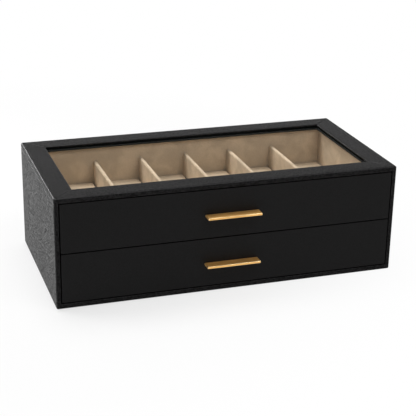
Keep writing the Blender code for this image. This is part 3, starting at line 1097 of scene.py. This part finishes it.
class ORGANIZER_OT_dividers(bpy.types.Operator):
    """Models the suede dividers, rounded along the top"""

    bl_idname = "organizer.dividers"
    bl_label = "Dividers"

    def execute(self, context):
        sizes = context.scene.organizer_drawers
        low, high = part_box("lower_divider_1")
        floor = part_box("lower_front_lining")[0].z
        room = Vector((low.x, low.y, floor))
        model = block("lower_divider_suede_1", room, high)
        round_edges(model, sizes.divider_radius, 5, lies_on(x=low.x, z=high.z), lies_on(x=high.x, z=high.z))
        net(model, 1, 26)
        net(model, 2, 6)
        soften(model, sizes.softness, DIVIDER_WAVE)
        ORGANIZER_OT_linings.flatten(model, room, high)
        finish_shading(model, 45)
        for level in LEVELS:
            for number in range(1, 6):
                node = f"{level}_divider_{number}"
                name = f"{level}_divider_suede_{number}"
                piece = model
                if name != model.name:
                    piece = copy_of(model, name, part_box(node)[0] - low)
                put_on(piece, "taupe_suede", f"{level}_drawer", node)
        return {"FINISHED"}


class ORGANIZER_OT_cushions(bpy.types.Operator):
    """Models the stuffed cushion on the floor of each compartment"""

    bl_idname = "organizer.cushions"
    bl_label = "Floor cushions"

    def execute(self, context):
        sizes = context.scene.organizer_drawers
        pad_low, pad_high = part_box("lower_floor_pad")
        edges = [pad_low.x]
        for number in range(1, 6):
            low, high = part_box(f"lower_divider_{number}")
            edges += [low.x, high.x]
        edges.append(pad_high.x)
        bays = [(edges[index], edges[index + 1]) for index in range(0, 12, 2)]
        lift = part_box("upper_floor_pad")[0] - pad_low
        models = {}
        for number, (left, right) in enumerate(bays, 1):
            width = round(right - left, 4)
            if width not in models:
                low = Vector((left, pad_low.y, pad_low.z))
                high = Vector((right, pad_high.y, pad_high.z))
                models[width] = (self.cushion(f"lower_cushion_{number}", low, high, sizes), left, right)
                piece = models[width][0]
            else:
                model, first_left, first_right = models[width]
                move = (left + right - first_left - first_right) / 2
                piece = copy_of(model, f"lower_cushion_{number}", X_AXIS * move)
            twin = copy_of(piece, f"upper_cushion_{number}", lift)
            put_on(piece, "taupe_suede", "lower_drawer", "lower_floor_pad")
            put_on(twin, "taupe_suede", "upper_drawer", "upper_floor_pad")
        return {"FINISHED"}

    def cushion(self, name, low, high, sizes):
        """One cushion: a thin closed form, stuffed by pressure, and flat where it rests."""
        margin = Vector((sizes.cushion_margin, sizes.cushion_margin, 0))
        crown = Vector((0, 0, sizes.cushion_crown))
        piece = block(name, low + margin, high - margin - crown)
        piece.data.remesh_voxel_size = CUSHION_VOXEL
        take(piece)
        bpy.ops.object.voxel_remesh()
        self.stuff(piece, sizes)
        for point in piece.data.vertices:
            point.co.z = max(point.co.z, low.z)
        apply_modifier(piece, "SMOOTH", factor=0.5, iterations=3)
        apply_modifier(piece, "SUBSURF", levels=1, render_levels=1)
        finish_shading(piece, 60)
        return piece

    def stuff(self, piece, sizes):
        """Blows the closed form up with pressure, then eases every move until the most is the crown."""
        before = [point.co.copy() for point in piece.data.vertices]
        take(piece)
        bpy.ops.object.modifier_add(type="CLOTH")
        cloth = piece.modifiers[-1]
        cloth.settings.use_pressure = True
        cloth.settings.uniform_pressure_force = CUSHION_PRESSURE
        cloth.settings.effector_weights.gravity = 0.0
        scene = bpy.context.scene
        for number in range(1, CUSHION_FRAMES + 1):
            scene.frame_set(number)
        bpy.ops.object.modifier_apply(modifier=cloth.name)
        scene.frame_set(1)
        moves = [point.co - start for point, start in zip(piece.data.vertices, before)]
        longest = max(abs(move.z) for move in moves)
        share = min(1.0, sizes.cushion_crown / longest)
        for point, start, move in zip(piece.data.vertices, before, moves):
            point.co = start + move * share


# The rest of the frame, and the stage


class ORGANIZER_OT_frame_finishes(bpy.types.Operator):
    """Gives each node of the frame that stays in view its finish"""

    bl_idname = "organizer.frame_finishes"
    bl_label = "Frame finishes"

    def execute(self, context):
        finishes = {"middle_shelf": "black_paper_wrap", "window_glass": "window_glass"}
        for side in ("front", "rear", "left", "right"):
            finishes[f"{side}_glass_strip"] = "charcoal_strip"
        for level in LEVELS:
            for board in ("left_wall", "right_wall", "back_wall", "base_board"):
                finishes[f"{level}_{board}"] = "black_paper_wrap"
            for side, _ in SIDES:
                finishes[f"{level}_{side}_guide"] = "guide_strip"
                finishes[f"{level}_{side}_pull_screw"] = "plated_steel"
        for name, finish in finishes.items():
            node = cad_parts[name]
            node.data.materials.clear()
            node.data.materials.append(material_for(finish))
        return {"FINISHED"}


def add_lamp(name, place, aim, size, power):
    """A soft white lamp that faces a point."""
    light = bpy.data.lights.new(name, "AREA")
    light.shape = "RECTANGLE"
    light.size, light.size_y = size
    light.energy = power
    lamp = bpy.data.objects.new(name, light)
    lamp.location = place
    lamp.rotation_euler = (Vector(aim) - Vector(place)).to_track_quat("-Z", "Y").to_euler()
    bpy.context.scene.collection.objects.link(lamp)


def seen_straight_or_mirrored(tree):
    """1 for camera, glossy and transmission rays, and 0 for the rays that light things."""
    rays = tree.nodes.new("ShaderNodeLightPath").outputs
    mirrored = maths(tree, "MAXIMUM", rays["Is Glossy Ray"], rays["Is Transmission Ray"])
    return maths(tree, "MAXIMUM", rays["Is Camera Ray"], mirrored)


class ORGANIZER_OT_stage(bpy.types.Operator):
    """Sets up the floor, the white room, the lamps and the camera"""

    bl_idname = "organizer.stage"
    bl_label = "Stage"

    def execute(self, context):
        settings = context.scene.organizer_stage
        self.room(settings)
        self.floor(settings)
        add_lamp("overhead", (-0.22, 0.42, 1.6), (0, 0, 0.08), (0.8, 0.8), 20.0)
        add_lamp("left", (-0.95, 0.45, 1.3), (0, 0, 0.08), (0.5, 0.5), 12.0)
        add_lamp("front", (0.25, -0.9, 1.35), (0, 0, 0.05), (1.2, 0.7), 8.0)
        add_lamp("rim", (-0.68, 1.7, 0.62), (0, 0, 0.1), (0.5, 0.5), 5.0)
        self.camera(settings)
        context.scene.view_settings.view_transform = "Standard"
        return {"FINISHED"}

    def room(self, settings):
        """A white room that gives only part of its light and mirrors with a dim ceiling."""
        world = bpy.data.worlds.new("room")
        bpy.context.scene.world = world
        world.use_nodes = True
        tree = world.node_tree
        seen = seen_straight_or_mirrored(tree)
        direction = add_node(
            tree, "ShaderNodeSeparateXYZ", {0: tree.nodes.new("ShaderNodeTexCoord").outputs["Generated"]}
        )
        dimming = ramp(tree, direction.outputs["Z"], *CEILING_EDGE, 0.0, settings.ceiling - 1.0)
        mirrored = tree.nodes.new("ShaderNodeLightPath").outputs["Is Glossy Ray"]
        shown = maths(tree, "MULTIPLY_ADD", seen, 1.0 - settings.room_light, settings.room_light)
        strength = maths(tree, "MULTIPLY_ADD", mirrored, dimming, shown)
        background = tree.nodes["Background"]
        background.inputs["Color"].default_value = (1.0, 1.0, 1.0, 1.0)
        tree.links.new(strength, background.inputs["Strength"])

    def floor(self, settings):
        """A wide pale floor, nearly white with a faint shadow, that isn't seen from below."""
        bpy.ops.object.select_all(action="DESELECT")
        bpy.ops.mesh.primitive_plane_add(size=9.0, location=(0, 0, -FLOOR_DROP))
        floor = bpy.context.active_object
        floor.name = "floor"
        material = bpy.data.materials.new("floor")
        material.use_nodes = True
        tree = material.node_tree
        tree.nodes.remove(tree.nodes["Principled BSDF"])
        matt = add_node(tree, "ShaderNodeBsdfDiffuse", {"Color": (0.6, 0.6, 0.6, 1.0)})
        white = add_node(tree, "ShaderNodeEmission", {"Color": (1.0, 1.0, 1.0, 1.0), "Strength": 1.0})
        place = tree.nodes.new("ShaderNodeTexCoord").outputs["Object"]
        reach = add_node(
            tree, "ShaderNodeVectorMath", {0: place, 1: SHADOW_MIDDLE}, operation="DISTANCE"
        ).outputs["Value"]
        glow = ramp(tree, reach, *SHADOW_EDGE, settings.floor_glow, 1.0)
        share = maths(tree, "MULTIPLY", seen_straight_or_mirrored(tree), glow)
        both = add_node(tree, "ShaderNodeMixShader", {0: share, 1: matt.outputs[0], 2: white.outputs[0]})
        below = tree.nodes.new("ShaderNodeNewGeometry").outputs["Backfacing"]
        clear = tree.nodes.new("ShaderNodeBsdfTransparent")
        shown = add_node(tree, "ShaderNodeMixShader", {0: below, 1: both.outputs[0], 2: clear.outputs[0]})
        tree.links.new(shown.outputs[0], tree.nodes["Material Output"].inputs["Surface"])
        material.cycles.emission_sampling = "NONE"
        floor.data.materials.append(material)

    def camera(self, settings):
        """The camera, looking down from the front left."""
        forward = Vector(
            (
                math.sin(settings.yaw) * math.cos(settings.pitch),
                math.cos(settings.yaw) * math.cos(settings.pitch),
                -math.sin(settings.pitch),
            )
        )
        level = Vector((math.cos(settings.yaw), -math.sin(settings.yaw), 0))
        upright = level.cross(forward)
        right = level * math.cos(settings.roll) + upright * math.sin(settings.roll)
        up = upright * math.cos(settings.roll) - level * math.sin(settings.roll)
        lens = bpy.data.cameras.new("camera")
        lens.lens = settings.lens
        lens.sensor_width = 36.0
        lens.clip_start = 0.05
        camera = bpy.data.objects.new("camera", lens)
        turned = Matrix((right, up, -forward)).transposed().to_4x4()
        camera.matrix_world = Matrix.Translation(Vector(settings.camera_place)) @ turned
        bpy.context.scene.collection.objects.link(camera)
        bpy.context.scene.camera = camera


class ORGANIZER_PT_panel(bpy.types.Panel):
    """Lists the steps of the organizer in order"""

    bl_idname = "ORGANIZER_PT_panel"
    bl_label = "Organizer"
    bl_space_type = "VIEW_3D"
    bl_region_type = "UI"
    bl_category = "Organizer"

    def draw(self, context):
        column = self.layout.column(align=True)
        for step in STEPS:
            column.operator(step.bl_idname)


STEPS = (
    ORGANIZER_OT_side_leathers,
    ORGANIZER_OT_top_frame,
    ORGANIZER_OT_bottom_leather,
    ORGANIZER_OT_back_leather,
    ORGANIZER_OT_felts,
    ORGANIZER_OT_bumpers,
    ORGANIZER_OT_drawer_fronts,
    ORGANIZER_OT_pulls,
    ORGANIZER_OT_linings,
    ORGANIZER_OT_dividers,
    ORGANIZER_OT_cushions,
    ORGANIZER_OT_frame_finishes,
    ORGANIZER_OT_stage,
)

GROUPS = {
    "organizer_case": CaseSizes,
    "organizer_drawers": DrawerSizes,
    "organizer_finishes": Finishes,
    "organizer_stage": StageSettings,
}


def register():
    """Registers the settings, the steps and the panel."""
    for name, group in GROUPS.items():
        bpy.utils.register_class(group)
        setattr(bpy.types.Scene, name, bpy.props.PointerProperty(type=group))
    for step in STEPS:
        bpy.utils.register_class(step)
    bpy.utils.register_class(ORGANIZER_PT_panel)


def unregister():
    """Removes what register added."""
    bpy.utils.unregister_class(ORGANIZER_PT_panel)
    for step in reversed(STEPS):
        bpy.utils.unregister_class(step)
    for name, group in reversed(GROUPS.items()):
        delattr(bpy.types.Scene, name)
        bpy.utils.unregister_class(group)


def main():
    """Builds everything in order."""
    register()
    for step in STEPS:
        area, name = step.bl_idname.split(".")
        getattr(getattr(bpy.ops, area), name)()


if __name__ == "__main__":
    main()
